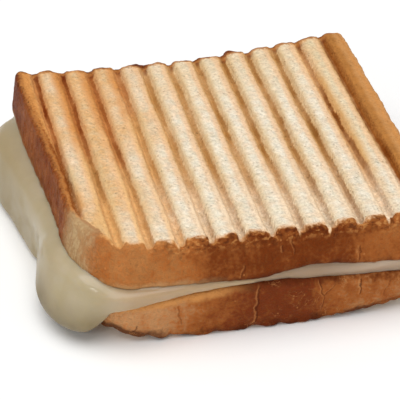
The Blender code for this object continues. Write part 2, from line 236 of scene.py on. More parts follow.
def columnPlaces(step):
    # even across the middle and closer together round the front corners
    def turn(across):
        return across * (1 - np.cos(np.linspace(0, math.pi / 2, round(across * math.pi / 2 / step) + 1)))

    leftPart = bread["left"] + turn(bread["frontLeftAcross"])
    rightPart = (bread["right"] - turn(bread["frontRightRadius"]))[::-1]
    middle = np.linspace(leftPart[-1], rightPart[0], round((rightPart[0] - leftPart[-1]) / step) + 1)
    return np.concatenate([leftPart[:-1], middle, rightPart[1:]])


def planGrid(step):
    # rows from front to back of (x, y, the x that the grooves are worked from)
    xs = columnPlaces(step)
    rows = round((bread["back"] - bread["front"]) / step)
    shares = np.linspace(0, 1, rows + 1)[:, None]
    ys = frontLine(xs) + (backLine(xs) - frontLine(xs)) * shares
    xs = np.broadcast_to(xs, ys.shape)
    fade = 1 - np.abs(2 * shares - 1) ** 4
    return np.stack([xs + strayOf(xs, ys) * fade + leanOf(xs, ys), ys, xs], -1)


def rimOrder(rows, columns):
    # row and column numbers of the grid's border, anticlockwise from the front left
    rim = [(0, c) for c in range(columns)]
    rim += [(r, columns - 1) for r in range(1, rows)]
    rim += [(rows - 1, c) for c in range(columns - 2, -1, -1)]
    rim += [(r, 0) for r in range(rows - 2, 0, -1)]
    return np.array(rim)


def planRim(step):
    # the border of the ridged face in plan, and how many rows and columns it goes round
    plan = planGrid(step)
    rows, columns = plan.shape[:2]
    order = rimOrder(rows, columns)
    return plan[order[:, 0], order[:, 1], :2], rows, columns


def rimNormals(rim):
    # outward normals of the border in plan, softened over a couple of millimetres
    closed = np.concatenate([rim, rim[:1]])
    run = runAlong(closed)
    count = 4096  # evenly spaced points to soften over
    even = np.linspace(0, run[-1], count, endpoint=False)
    line = pairsAt(even, run, closed)
    way = unit(np.roll(line, -1, 0) - np.roll(line, 1, 0))
    off = (np.arange(count) + count // 2) % count - count // 2
    spread = np.exp(-0.5 * (off * run[-1] / count / bread["normalSpread"]) ** 2)
    soft = unit(np.fft.ifft(np.fft.fft(way, axis=0) * np.fft.fft(spread)[:, None], axis=0).real)
    tied = np.concatenate([soft, soft[:1]])
    return outwardOf(unit(pairsAt(run[:-1], np.append(even, run[-1]), tied)))


def flareOf(rim):
    # how many times further than elsewhere the crust stands out
    away = np.linalg.norm(rim - np.array(bread["cornerAt"]), axis=1)
    return 1 + bread["cornerFlare"] * np.exp(-((away / bread["cornerSpread"]) ** 2))


def crustRings(outward, look, rim, rimPressed, normals):
    # lines round the crust as (how far out, height, how far round it from 0 to 1)
    bare = ridgedHeight(outward, rim[:, 2], rimPressed, rim[:, 1], 0.0)
    pressed = ridgedHeight(outward, rim[:, 2], rimPressed, rim[:, 1]) - bare
    inner = innerHeight(rim[:, 0], rim[:, 1], outward)
    crag = hills(rim[:, 0], bread["backCrags"]) * (normals[:, 1] > 0.5) if outward > 0 else np.zeros(len(rim))
    edgeRound, reach, inset = bread["edgeRound"], bread["crustReach"], bread["innerInset"]
    rounded, rings = bread["roundedShare"], []
    for step in range(1, look["roundSteps"] + 1):
        angle = math.pi / 2 * step / look["roundSteps"]
        pressedLeft = pressed * (1 - 0.8 * step / look["roundSteps"])
        drop = outward * edgeRound * (1 - math.cos(angle))
        out = edgeRound * math.sin(angle) + crag * math.sin(angle)
        rings.append((out, bare + pressedLeft - drop, rounded * math.sin(angle)))
    shoulder, low = rings[-1][1], inner + outward * inset
    for step in range(1, look["wallSteps"] + 1):
        share = step / look["wallSteps"]
        out = edgeRound + (reach - edgeRound) * math.sin(math.pi / 2 * share) + crag * (1 - share) ** 1.5
        rings.append((out, shoulder + (low - shoulder) * share, rounded + (1 - 2 * rounded) * share))
    for step in range(1, look["roundSteps"] + 1):
        angle = math.pi / 2 * step / look["roundSteps"]
        out = reach - inset * (1 - math.cos(angle)) + np.zeros(len(rim))
        rings.append((out, low + (inner - low) * math.sin(angle), 1 - rounded + rounded * math.sin(angle)))
    return rings


def sheetFaces(outward, rows, columns, order, ringCount):
    # the ridged face as a grid, the crust as bands, the inner face as strips with a fan down each side
    numbers, count = np.arange(rows * columns).reshape(rows, columns), len(order)
    quads = np.stack([numbers[:-1, :-1], numbers[:-1, 1:], numbers[1:, 1:], numbers[1:, :-1]], -1)
    parts, loop = [quads.reshape(-1, 4)], numbers[order[:, 0], order[:, 1]]
    for k in range(ringCount):
        below = rows * columns + k * count + np.arange(count)
        parts.append(np.stack([loop, below, np.roll(below, -1), np.roll(loop, -1)], -1))
        loop = below
    front, back = loop[:columns], loop[columns + rows - 2:2 * columns + rows - 2][::-1]
    right, left = loop[columns:columns + rows - 2], loop[2 * columns + rows - 2:]
    parts.append(np.stack([front[1:-2], back[1:-2], back[2:-1], front[2:-1]], -1))
    faces = np.concatenate(parts).tolist()
    faces.append([front[0], *left[::-1], back[0], back[1], front[1]])
    faces.append([front[-2], back[-2], back[-1], *right[::-1], front[-1]])
    if outward < 0:
        faces = [corners[::-1] for corners in faces]
    return [[int(k) for k in corners] for corners in faces]


def sheetMarks(look, plan, pressedX, order, normals, layers, rises):
    # what the finish reads at each point: place across the grooves, distance in from the ridged face's edge
    # in millimetres, way round the crust, nearness to front and back, crust's darkness, corner's direction
    faceX, faceY = plan[..., 2], plan[..., 1]
    toFront, toBack = faceY - frontLine(faceX), backLine(faceX) - faceY
    sides = np.minimum(faceX - bread["left"], bread["right"] - faceX)
    previous = layers[0].reshape(*faceX.shape, 3)[order[:, 0], order[:, 1]]
    ringRun = [np.minimum(np.minimum(toFront, toBack), sides).ravel(), np.zeros(len(order))]
    for ring in layers[1:]:
        ringRun.append(ringRun[-1] - np.linalg.norm(ring - previous, axis=1))
        previous = ring

    def onAll(faceValues, rimValues):
        # the ridged face's values, then the border's for each line round the crust
        return np.concatenate([faceValues.ravel()] + [rimValues] * (len(layers) - 1))

    across = (pressedX - grill["first"]) / grill["pitch"]
    edgeReach = 0.012  # this far in, the face no longer counts as near its front or back
    marks = {
        "across": onAll(across, across[order[:, 0], order[:, 1]]),
        "inward": np.concatenate(ringRun[:1] + ringRun[2:]) * 1000,
        "rise": rises,
        "atFront": onAll(easeStep(edgeReach, 0.0, toFront), easeStep(0.2, 0.8, -normals[:, 1])),
        "atBack": onAll(easeStep(edgeReach, 0.0, toBack), easeStep(0.2, 0.8, normals[:, 1])),
    }
    points = np.concatenate(layers)
    frontDeep = np.interp(points[:, 0], *zip(*look["deepFront"]))
    sideDeep = look["deepSide"] + look["deepStray"] * lumps(points, look["deepSize"], look["seed"] + 40)
    marks["deep"] = sideDeep + (frontDeep - sideDeep) * marks["atFront"]

    # the direction is 0 where the crust faces the front and 90 where it faces the left
    rim, face = plan[order[:, 0], order[:, 1]], layers[0]
    turn = np.degrees(np.arctan2(-normals[:, 0], -normals[:, 1]))
    turn = np.where(rim[:, 1] < -0.02, turn, 0.0)
    faceTurn = np.zeros(len(face))
    nearCorner = np.where((face[:, 0] < -0.030) & (face[:, 1] < -0.015))[0]
    gaps = np.linalg.norm(face[nearCorner, None, :2] - rim[None, :, :2], axis=2)
    faceTurn[nearCorner] = turn[np.argmin(gaps, axis=1)]
    marks["turn"] = onAll(faceTurn, turn)
    return marks


def sliceSheet(outward, look):
    # points, faces and marks of one slice, before its fine relief
    plan = planGrid(look["spacing"])
    rows, columns = plan.shape[:2]
    level = np.full((rows, columns), outward * grill["wobbleApart"])
    wide = np.stack([plan[..., 0], plan[..., 1], level], -1)
    wobble = lumps(wide, grill["wobbleLong"], look["seed"], 2)
    wobble = wobble + lumps(wide, grill["wobbleShort"], look["seed"] + 5)
    pressedX = plan[..., 2] + grill["wobble"] * wobble * look["wobbleShare"]
    heights = ridgedHeight(outward, plan[..., 2], pressedX, plan[..., 1])
    order = rimOrder(rows, columns)
    rim = plan[order[:, 0], order[:, 1]]
    normals, flare = rimNormals(rim[:, :2]), flareOf(rim[:, :2])
    rings = crustRings(outward, look, rim, pressedX[order[:, 0], order[:, 1]], normals)
    layers = [np.stack([plan[..., 0], plan[..., 1], heights], -1).reshape(-1, 3)]
    rises = [np.zeros(rows * columns)]
    for out, height, rise in rings:
        layers.append(np.column_stack([rim[:, :2] + normals * (out * flare)[:, None], height]))
        rises.append(np.full(len(rim), rise))
    marks = sheetMarks(look, plan, pressedX, order, normals, layers, np.concatenate(rises))
    return np.concatenate(layers) + standAt, sheetFaces(outward, rows, columns, order, len(rings)), marks


def tone(red, green, blue):
    # a colour as seen on screen, 0 to 255, as the renderer wants it
    def linear(value):
        return ((value / 255 + 0.055) / 1.055) ** 2.4 if value > 10 else value / 255 / 12.92

    return linear(red), linear(green), linear(blue), 1.0


class Wire:
    # a socket that takes part in sums
    def __init__(self, owner, socket):
        self.owner, self.socket = owner, socket

    def sum(self, operation, *values):
        return self.owner.node("ShaderNodeMath", {"operation": operation}, values)

    def __add__(self, other):
        return self.sum("ADD", self, other)

    def __sub__(self, other):
        return self.sum("SUBTRACT", self, other)

    def __rsub__(self, other):
        return self.sum("SUBTRACT", other, self)

    def __mul__(self, other):
        return self.sum("MULTIPLY", self, other)

    def __pow__(self, other):
        return self.sum("POWER", self, other)

    def __abs__(self):
        return self.sum("ABSOLUTE", self)

    __radd__, __rmul__ = __add__, __mul__

    def above(self, other):
        return self.sum("MAXIMUM", self, other)

    def below(self, other):
        return self.sum("MINIMUM", self, other)

    def ease(self, low, high):
        # 0 at low and 1 at high, smooth between; low may be the larger
        spans = {"Value": self, "From Min": low, "From Max": high}
        return self.owner.node("ShaderNodeMapRange", {"interpolation_type": "SMOOTHSTEP"}, spans)

    def hump(self, middle, half):
        # 1 at middle, falling to 0 half away on each side
        return abs(self - middle).ease(half, 0.0)


class Look:
    # one material; its methods add nodes
    def __init__(self, name, **fixed):
        self.material = bpy.data.materials.new(name)
        self.material.use_nodes = True
        self.tree = self.material.node_tree
        self.shader = self.tree.nodes["Principled BSDF"]
        for key, value in fixed.items():
            self.shader.inputs[key.replace("_", " ")].default_value = value
        self.place = self.node("ShaderNodeTexCoord", result="Object")

    def node(self, kind, settings=None, sockets=(), result=0):
        # settings come first, then a value or a link for each socket
        made = self.tree.nodes.new(kind)
        for key, value in (settings or {}).items():
            setattr(made, key, value)
        for key, value in sockets.items() if isinstance(sockets, dict) else enumerate(sockets):
            if isinstance(value, Wire):
                self.tree.links.new(value.socket, made.inputs[key])
            else:
                made.inputs[key].default_value = value
        return Wire(self, made.outputs[result])

    def axes(self):
        split = self.node("ShaderNodeSeparateXYZ", sockets=(self.place,)).socket.node
        return [Wire(self, out) for out in split.outputs]

    def mark(self, name):
        return self.node("ShaderNodeAttribute", {"attribute_name": name}, result="Fac")

    def pick(self, share, first, second):
        # a number between two others
        return first + (second - first) * share

    def mix(self, share, first, second, blend="MIX"):
        # a colour between two others; a colour mix has its factor and colours at sockets 0, 6 and 7
        kinds = {"data_type": "RGBA", "blend_type": blend}
        return self.node("ShaderNodeMix", kinds, {0: share, 6: first, 7: second}, 2)

    def shade(self, colour, share):
        # the colour times a number
        grey = self.node("ShaderNodeCombineColor", sockets=(share, share, share))
        return self.mix(1.0, colour, grey, "MULTIPLY")

    def noise(self, size, detail=2.0, stretch=(1, 1, 1), shift=0.0, turn=0.0):
        place = self.place
        if turn:
            spans = {"Vector": place, "Angle": math.radians(turn)}
            place = self.node("ShaderNodeVectorRotate", {"rotation_type": "Z_AXIS"}, spans)
        spans = (place, stretch, (shift, shift, shift))
        place = self.node("ShaderNodeVectorMath", {"operation": "MULTIPLY_ADD"}, spans)
        spans = {"Vector": place, "Scale": 1 / size, "Detail": detail, "Roughness": 0.5}
        return self.node("ShaderNodeTexNoise", sockets=spans)

    def cells(self, size, stretch=(1, 1, 1)):
        place = self.node("ShaderNodeVectorMath", {"operation": "MULTIPLY"}, (self.place, stretch))
        return self.node("ShaderNodeTexVoronoi", sockets={"Vector": place, "Scale": 1 / size})

    def give(self, key, wire):
        self.tree.links.new(wire.socket, self.shader.inputs[key])

    def bump(self, height, strength=1.0):
        spans = {"Strength": strength, "Distance": 1.0, "Height": height}
        self.give("Normal", self.node("ShaderNodeBump", sockets=spans))


topSliceLook = dict(
    spacing=0.0005, seed=11, roundSteps=5, wallSteps=24, wobbleShare=1.0,
    # how dark the crust is: along the front as (x, share), and elsewhere with a slow stray
    deepFront=(
        (-0.055, 0.18), (-0.030, 0.22), (-0.020, 0.45), (-0.014, 0.82), (0.005, 0.98), (0.026, 0.92),
        (0.036, 0.62), (0.048, 0.52), (0.060, 0.60),
    ),
    deepSide=0.98, deepStray=0.25, deepSize=0.030,
    # cracks: x at the upper end, x at the lower end, how far down the crust both ends lie, half width, depth
    cracks=(
        (0.0090, 0.0088, 0.30, 0.50, 0.00022, 0.6), (0.0126, 0.0124, 0.22, 0.62, 0.00020, 0.5),
        (0.0335, 0.0333, 0.50, 0.95, 0.00022, 0.6), (-0.0030, -0.0045, 0.60, 0.95, 0.00024, 0.5),
    ),
    # the ridges' crumb
    creamLeft=tone(220, 174, 120), creamRight=tone(238, 227, 206), creamBack=tone(228, 200, 158),
    creamLast=tone(222, 196, 150), olive=tone(208, 198, 166), peach=tone(240, 190, 140),
    # the grooves' walls, and the fade on the right of their lines; the last two are painted light, wall
    # colours paler than the toast's own
    golden=tone(218, 168, 106), warmGold=tone(236, 184, 120), fadeGold=tone(222, 189, 138),
    orange=tone(214, 144, 76), litWall=tone(253, 224, 188), litWallWarm=tone(246, 197, 138),
    # the grooves' lines, and their burnt ends
    grooveBrown=tone(112, 44, 4), grooveRust=tone(178, 98, 28), grooveOlive=tone(126, 74, 18),
    grooveTan=tone(178, 122, 46), burnt=tone(100, 36, 16), ember=tone(226, 178, 116),
    # the left and right rims; the left one ends this far forward, in a brown tip
    rimOrange=tone(216, 150, 84), rimDark=tone(140, 74, 28), rimGlow=tone(236, 176, 112),
    rimWall=tone(180, 120, 60), rimCrest=tone(208, 150, 92), rimBrown=tone(166, 110, 60),
    rimTip=-0.0315, tipAt=(-0.0490, -0.0335), tipSize=0.0042,
    # the crust
    crustLight=tone(182, 120, 66), crustMid=tone(164, 94, 42), crustDark=tone(112, 50, 12),
    # the last is a smear of cheese, partly painted light against the shade where the crust meets it
    crustDeep=tone(74, 28, 8), fleck=tone(208, 142, 84), smearAndPaintedLight=tone(202, 158, 108),
    # the painted highlight on the front left corner: where it starts and ends in degrees round from the
    # front, each over a span, how strong it and its paler streaks are, and the brown patch above it
    cornerHighlightTan=tone(178, 142, 98), cornerHighlightPale=tone(198, 168, 124), cornerStart=(51, 68), cornerEnd=(85, 71),
    cornerShare=0.85, paleShare=0.8,
    cornerBrown=tone(180, 130, 86), cornerAt=(-0.0490, -0.0390), cornerSize=0.0075,
)

bottomSliceLook = dict(
    topSliceLook, spacing=0.00055, seed=31, wobbleShare=0.6,
    deepFront=(
        (-0.045, 0.04), (-0.028, 0.20), (-0.018, 0.52), (-0.008, 0.82), (0.001, 1.00), (0.017, 1.00),
        (0.023, 0.66), (0.034, 0.48), (0.050, 0.52),
    ),
    cracks=(
        (0.0018, 0.0004, 0.98, 0.06, 0.00024, 0.7), (0.0206, 0.0228, 0.98, 0.55, 0.00022, 0.6),
        (0.0260, 0.0226, 0.88, 0.60, 0.00022, 0.5), (0.0228, 0.0222, 0.60, 0.25, 0.00020, 0.5),
        (0.0347, 0.0340, 0.98, 0.50, 0.00022, 0.8), (0.0440, 0.0418, 0.92, 0.30, 0.00024, 0.3),
        (-0.0365, -0.0380, 0.40, 0.12, 0.00024, 0.7), (-0.0235, -0.0228, 0.85, 0.25, 0.00020, 0.4),
    ),
    crustLight=tone(198, 144, 95), crustDark=tone(114, 50, 18), cornerShare=0.3, paleShare=0.1,
)

# unevenness of both slices: height and size in metres
relief = dict(
    crumb=(0.00012, 0.0030), crumbFine=(0.00011, 0.0012), pits=(0.00070, 0.0017), pitFrom=0.42,
    crust=(0.00022, 0.0070), crustFine=(0.00012, 0.0021), folds=(0.00012, (0.0020, 0.0020, 0.0120)),
    grains=(0.00014, 0.0019), burnt=(0.00065, 0.0042), burntFine=(0.00030, 0.0014),
    backTips=(0.00030, 0.0023), knobs=(0.00075, (0.0034, 0.0026, 0.0020)), knobLift=0.00016,
)


def crustAndCrumb(points, normals, marks, look, outward):
    # moves each point out or in from the smooth form
    def rough(kind, step, octaves=1, share=1.0):
        height, size = relief[kind]
        return share * height * lumps(points, size, look["seed"] + step, octaves)

    inward, across, rise = marks["inward"] / 1000, marks["across"], marks["rise"]
    onCrust = easeStep(0.0008, -0.0008, inward)
    rightFrom = grill["count"] - 0.8
    rim = np.maximum(easeStep(-0.25, -0.35, across), easeStep(rightFrom, rightFrom + 0.1, across))
    pitDepth, pitSize = relief["pits"]
    pits = -pitDepth * np.clip(lumps(points, pitSize, look["seed"] + 22) - relief["pitFrom"], 0, None)
    crumb = rough("crumb", 20, 2) + rough("crumbFine", 21) + pits
    crust = rough("crust", 23, 2) + rough("crustFine", 24, 2) + rough("folds", 25, 2)
    stand = crumb * (1 - onCrust) + crust * onCrust + rough("grains", 26, 2) * rim * easeStep(0.5, 0.1, rise)
    if outward < 0:
        burnt = easeStep(0.28, 0.04, rise) * onCrust
        stand += burnt * (rough("burnt", 27, 2) + rough("burntFine", 28))
    else:
        tips = easeStep(0.0030, -0.0010, inward) * marks["atBack"]
        stand += rough("backTips", 29, 2, tips)
        knobs = easeStep(-0.0056, -0.0014, inward) * easeStep(0.0008, -0.0006, inward) * marks["atFront"]
        knobs *= easeStep(-0.034, -0.018, points[:, 0])
        stand += knobs * (relief["knobLift"] + rough("knobs", 30, 2))
    return points + normals * stand[:, None]


class ToastLook(Look):
    # a slice's material, with the marks and the unevenness that the parts of its finish share
    def __init__(self, name, look, outward):
        super().__init__(name, Roughness=0.62, Specular_IOR_Level=0.06)
        self.look, self.outward = look, outward
        self.across, self.inward, self.rise = self.mark("across"), self.mark("inward"), self.mark("rise")
        self.atFront, self.atBack = self.mark("atFront"), self.mark("atBack")
        self.x, self.y, _ = self.axes()
        self.rawMedium, self.rawFine = self.noise(0.0040, 3), self.noise(0.0011, 2)
        self.rawStreaks = self.noise(0.0016, 3, (1, 1, 0.35))
        # these swing about 0
        self.medium, self.fine, self.streaks = self.rawMedium - 0.5, self.rawFine - 0.5, self.rawStreaks - 0.5
        self.broad, self.patch = self.noise(0.014, 2) - 0.5, self.noise(0.0075, 2, shift=0.3) - 0.5
        self.grit, fibres = self.noise(0.00055, 2) - 0.5, self.noise(0.0009, 1, (1, 0.3, 1), turn=-38) - 0.5
        self.mottle = self.fine * 0.70 + self.grit * 0.30 + fibres * 0.40 + self.medium * 0.10
        self.placeGrooves()

    def placeGrooves(self):
        # left is the distance across from the nearest groove and off the same from its dark line, in pitches;
        # near the front and the right the lines lie further right
        across, y = self.across, self.y
        nearest = self.node("ShaderNodeMath", {"operation": "ROUND"}, (across,))
        nearest = nearest.below(grill["count"] - 1).above(0.0)
        # the grooves are numbered from 0: these are 1 in the first, the last but one and the last
        self.firstGroove, self.endGroove = across.ease(0.6, 0.4), across.ease(10.4, 10.6)
        self.lastGroove = across.ease(9.4, 9.6) * (1 - self.endGroove)
        # the left grooves are warm, and heavily toasted towards the back
        self.warm = (across + self.broad * 3.0).ease(4.8, 2.4)
        heavyFrom = (across - 2.3).above(0.0) * 0.030
        self.heavy = self.warm * (y - heavyFrom + self.broad * 0.05).ease(-0.012, 0.014)
        self.toFront, self.toMiddle = y.ease(-0.012, -0.044), y.ease(-0.055, -0.010)
        wander = (self.noise(0.0060, 2, (1, 0.5, 1)) - 0.5) * 0.11 + self.fine * 0.06
        self.left = across - nearest + wander
        slide = y.ease(0.0, -0.046) * 0.045 + self.warm * 0.010
        self.off = self.left - slide - self.lastGroove * (0.005 + y.ease(0.004, -0.016) * 0.035)
        self.spots = (self.noise(0.009, 2, (1, 0.5, 1), 0.9) - 0.5) * 1.6 + self.medium * 0.6
        tipEnd, blur = standAt[1] + self.look["rimTip"], 0.0015
        self.tipShare = y.ease(tipEnd - blur, tipEnd + blur).above(across.ease(0.4, 0.6))

    def roundSpot(self, at, size):
        # 1 inside a ragged round patch and 0 outside it
        away = ((self.x - (standAt[0] + at[0])) ** 2 + (self.y - (standAt[1] + at[1])) ** 2) ** 0.5
        return (away * (1 / size) + self.medium * 2.0).ease(1.3, 0.4)


def crumbColour(m):
    # darker towards the left and the back, mottled and speckled
    look, across, x, y = m.look, m.across, m.x, m.y
    firstRidge = across.ease(0.95, 0.65) * y.ease(-0.044, -0.022)
    lightShare = x * 30 + 1.0 - y.below(0.020) * 8.0 + firstRidge * 0.6 + m.broad * 1.4
    lightShare = lightShare.ease(-0.1, 1.0)
    crumb = m.mix(lightShare, look["creamLeft"], look["creamRight"])
    crumb = m.mix(y.ease(0.006, 0.050) * across.ease(3.0, 5.0) * 0.6, crumb, look["creamBack"])
    crumb = m.mix(across.ease(10.1, 10.4) * y.ease(-0.036, -0.006) * 0.55, crumb, look["creamLast"])
    crumb = m.mix(m.noise(0.0034, 2).ease(0.34, 0.74) * (0.45 - 0.15 * lightShare), crumb, look["peach"])
    crumb = m.mix(m.noise(0.0024, 2, shift=0.7).ease(0.36, 0.74) * 0.35, crumb, look["olive"])
    crumb = m.shade(crumb, 1.0 + m.mottle)
    specks = m.cells(0.0030).ease(0.10, 0.06) * m.noise(0.008, 1, shift=0.6).ease(0.50, 0.60)
    return m.mix(specks * 0.5, crumb, look["grooveOlive"])


def withGrooveWalls(m, crumb):
    # a peach shoulder, a toasted wall and a golden fade to the right; painted light makes the wall paler near
    # the front and in the last but one groove
    look, y, left, off, warm, heavy = m.look, m.y, m.left, m.off, m.warm, m.heavy
    toFront, toMiddle, lastGroove = m.toFront, m.toMiddle, m.lastGroove
    wall = left.ease(-0.30, -0.12).above(left.ease(-0.38, -0.14) * warm)
    wall = wall.above(left.ease(-0.58, -0.18) * heavy)
    wallShare = (0.15 + toMiddle * 0.75).above(warm * 0.80) + m.spots * 0.3
    wallShare = wallShare.above(lastGroove * (0.7 - toFront * 0.55))
    fade = off.ease(0.42 + lastGroove * 0.08, 0.11)
    atTip = m.firstGroove * y.ease(-0.014, -0.028)
    fadeShare = 0.42 + toMiddle * 0.46 + m.spots * 0.3 + atTip * 0.5
    fadeShare = fadeShare + lastGroove * (y.ease(-0.034, -0.018) * 0.25 - y.ease(0.028, 0.044) * 0.6)
    toRight = off.ease(0.08, 0.15)
    band = wall * fade * m.pick(toRight, wallShare, fadeShare)
    edge = left.ease(-0.48, -0.30) * left.ease(-0.05, -0.20) * (1 - lastGroove * toFront)
    surface = m.mix(edge * (0.25 + toMiddle * 0.40), crumb, look["peach"])
    toasted = m.mix(warm, look["golden"], look["warmGold"])
    toasted = m.mix(toRight * (1 - lastGroove * 0.7), toasted, look["fadeGold"])
    toasted = m.mix((heavy * (1 - toRight * 0.4)).above(atTip * 0.65), toasted, look["orange"])
    # painted light: the last but one groove's wall is made lighter and warmer
    toasted = m.mix(lastGroove * (1 - toRight) * (0.8 - toFront * 0.5), toasted, look["litWallWarm"])
    surface = m.mix((band * m.tipShare).below(1.0), surface, toasted)
    # painted light: near the front the left walls of the grooves are painted paler
    litWall = m.mix(m.across.ease(3.6, 2.2), look["litWall"], look["litWallWarm"])
    litWallShare = left.ease(-0.36, -0.22) * left.ease(0.02, -0.06) * toFront * 0.7 * m.tipShare
    return m.mix(litWallShare, surface, litWall)


def withRims(m, surface):
    # the rims are browned like the crust: on the left darker towards the front,
    # on the right with a smooth inner wall and a pale crest
    look, across, y, medium = m.look, m.across, m.y, m.medium
    rightRim = across.ease(grill["count"] - 0.97, grill["count"] - 0.92)
    rim = ((across + m.fine * 0.20).ease(0.14, 0.06) * m.tipShare).above(rightRim)
    grains = (m.rawFine + medium * 0.6 + m.grit * 0.8).ease(0.38, 0.62)
    dark = (across + 0.005 + y * 5.0 + medium * 0.2).ease(-0.10, -0.38) * 0.9
    dark = dark + (y + medium * 0.02).ease(0.020, -0.014) * 0.60 + grains * 0.50 - 0.26
    leftColour = m.mix(dark.above(0.0).below(1.0), look["rimOrange"], look["rimDark"])
    leftColour = m.mix(across.ease(-0.24, -0.12) * y.ease(-0.004, 0.016) * 0.7, leftColour, look["rimGlow"])
    tip = m.roundSpot(look["tipAt"], look["tipSize"]) * across.ease(0.26, 0.06)
    surface = m.mix(tip * 0.7, surface, look["rimBrown"])
    crest = (across + medium * 0.2).ease(grill["count"] - 0.66, grill["count"] - 0.46)
    m.rightColour = m.mix(crest * (1 - grains * 0.45), look["rimWall"], look["rimCrest"])
    m.rightCrest = rightRim * crest
    rimColour = m.shade(m.mix(rightRim, leftColour, m.rightColour), 1.0 + m.mottle * 0.5 + m.patch * 0.4)
    return m.mix(rim, surface, rimColour)


def withGrooveLines(m, surface):
    # a dark line on each groove's floor, over a softer browning
    look, across, y, off = m.look, m.across, m.y, m.off
    firstGroove, lastGroove, endGroove = m.firstGroove, m.lastGroove, m.endGroove
    browning = off.ease(-0.12, 0.0) * off.ease(0.155, 0.115) * m.tipShare
    line = off.ease(-0.04, 0.035) * off.ease(0.145, 0.100)
    line = line.above(off.ease(-0.05, 0.03) * off.ease(0.24, 0.05) * endGroove) * m.tipShare
    lineShare = 0.40 + across.ease(3.5, 0.5) * 0.42 + across.ease(5.5, 8.5) * 0.18
    lineShare = lineShare + (lastGroove + endGroove) * 0.22
    lineShare = lineShare * (1 - y.ease(0.006, -0.036) * (0.2 + m.warm * 0.24)) * (1 + m.spots * 1.2)
    thinned = y.ease(-0.010, -0.042) * 0.6 + y.ease(0.012, 0.030) * 0.3
    lineShare = lineShare * (1 - lastGroove * thinned - firstGroove * (0.1 + y.ease(0.028, 0.012) * 0.3))
    browned = (m.heavy * 1.2).above((firstGroove + endGroove) * 0.7 + lastGroove * 0.4).below(1.0)
    brownColour = m.mix(browned, look["grooveTan"], look["grooveRust"])
    lineColour = m.mix(browned, look["grooveOlive"], look["grooveBrown"])
    surface = m.mix((browning * lineShare * 0.5).below(0.8), surface, brownColour)
    return m.mix((line * lineShare).below(0.95), surface, lineColour)


def withScorches(m, surface):
    # a glow towards the front of the first whole ridge, and burnt groove ends and a burnt hem at the back
    look, across, y, inward, medium = m.look, m.across, m.y, m.inward, m.medium
    glow = (across + y.ease(-0.034, -0.050) * 0.45 + medium * 0.6).ease(0.45, 0.80) * across.ease(1.4, 1.1)
    atEdge = (inward + medium * 3.0).ease(3.6, 0.8) * across.ease(0.9, 0.6)
    glow = (glow * y.ease(-0.020, -0.034)).above(atEdge)
    surface = m.mix(glow * y.ease(-0.020, -0.034) * across.ease(0.02, 0.14) * 0.60, surface, look["ember"])
    surface = m.shade(surface, 1.0 + (m.mottle * m.off.hump(-0.1, 0.4) * 0.6))
    charred = m.off.hump(0.07, 0.20) * m.atBack * (inward + medium * 4.0).ease(3.0, 0.6)
    hem = m.atBack * (inward + m.fine * 2.0).ease(1.0, 0.2)
    return m.mix((charred * 0.8).above(hem * 0.6), surface, look["burnt"])


def crustColour(m):
    look, rise, x, medium, fine, grit, streaks = m.look, m.rise, m.x, m.medium, m.fine, m.grit, m.streaks
    deep = m.mark("deep") + m.patch * 0.5 + medium * 0.5 + fine * 0.8 + streaks * 0.5
    crust = m.mix(deep.ease(0.0, 0.60), look["crustLight"], look["crustMid"])
    crust = m.mix(deep.ease(0.45, 1.05), crust, look["crustDark"])
    hem = (rise + medium * 0.3).ease(0.82, 1.02) * deep.ease(0.2, 0.8) * 0.7
    crust = m.mix(hem, crust, look["crustDeep"])
    rough = 1.6 - m.atFront * 1.0
    crust = m.shade(crust, 1.0 + streaks * 0.40 + fine * rough + grit * rough * 0.6)
    crust = m.mix(m.rightCrest * (rise + medium * 0.2).ease(0.28, 0.08), crust, m.rightColour)
    if m.outward < 0:  # a burnt edge underneath and a warm one above
        base = (rise + medium * 0.5 - x.ease(-0.020, -0.036) * 0.14).ease(0.22, 0.0)
        crust = m.mix(base * 0.85, crust, look["crustDeep"])
        upper = (rise + medium * 0.3).ease(0.80, 0.96) * x.ease(0.006, -0.012)
        crust = m.mix(upper * 0.8, crust, look["rimOrange"])
    flecks = m.cells(0.0021, (1, 1, 0.6)).ease(0.15, 0.09) * m.noise(0.005, 1, shift=0.5).ease(0.56, 0.64)
    m.wrinkles = m.rawMedium.hump(0.5, 0.014) * m.noise(0.006, 1, shift=0.2).ease(0.48, 0.58)
    if m.outward > 0:  # knobs under the front edge, with painted highlights on their tops and painted shade between them, and a smear of cheese where the crust meets it, partly painted light
        m.wrinkles = m.wrinkles * m.inward.ease(-5.0, -2.0)
        knobby = (rise + medium * 0.3).ease(0.36, 0.06) * m.atFront * x.ease(-0.034, -0.018)
        knob = m.noise(0.0024, 2, (1, 1, 1.4), 0.2)
        # painted highlight on the knobs' tops and painted shade between them, from the same noise as their
        # bump
        crust = m.mix(knobby * knob.ease(0.52, 0.62) * 0.55, crust, look["rimOrange"])
        crust = m.mix(knobby * knob.ease(0.47, 0.38) * 0.60, crust, look["crustDeep"])
        # a pale smear of cheese on the crust, partly painted light that softens the shade where the crust
        # meets the cheese
        cheesy = (rise + medium * 0.30 + streaks * 0.15).ease(0.80, 1.0) * x.ease(0.002, -0.028)
        crust = m.mix(cheesy * 0.70, crust, look["smearAndPaintedLight"])
        m.knobHeight = (knob - 0.5) * knobby
    return m.mix(flecks.above(m.wrinkles) * m.atFront * 0.45, crust, look["fleck"])


def crackMasks(m):
    # thin dark lines down the front, each with a pale lip on its left
    bend = (m.noise(0.0050, 2, shift=0.1) - 0.5) * 0.0036 + m.fine * 0.0008
    crack, lip = 0.0, 0.0
    for xHigh, xLow, riseHigh, riseLow, half, depth in m.look["cracks"]:
        share = (m.rise - riseHigh) * (1 / (riseLow - riseHigh))
        away = m.x - (standAt[0] + xHigh) - (xLow - xHigh) * share - bend
        part = share.ease(-0.02, 0.12) * share.ease(1.02, 0.80) * m.atFront
        crack = (part * away.hump(0.0, half * 1.7) * depth * 0.9).above(crack)
        lip = (part * away.hump(-half * 2.6, half * 1.9) * depth * 0.5).above(lip)
    return crack, lip


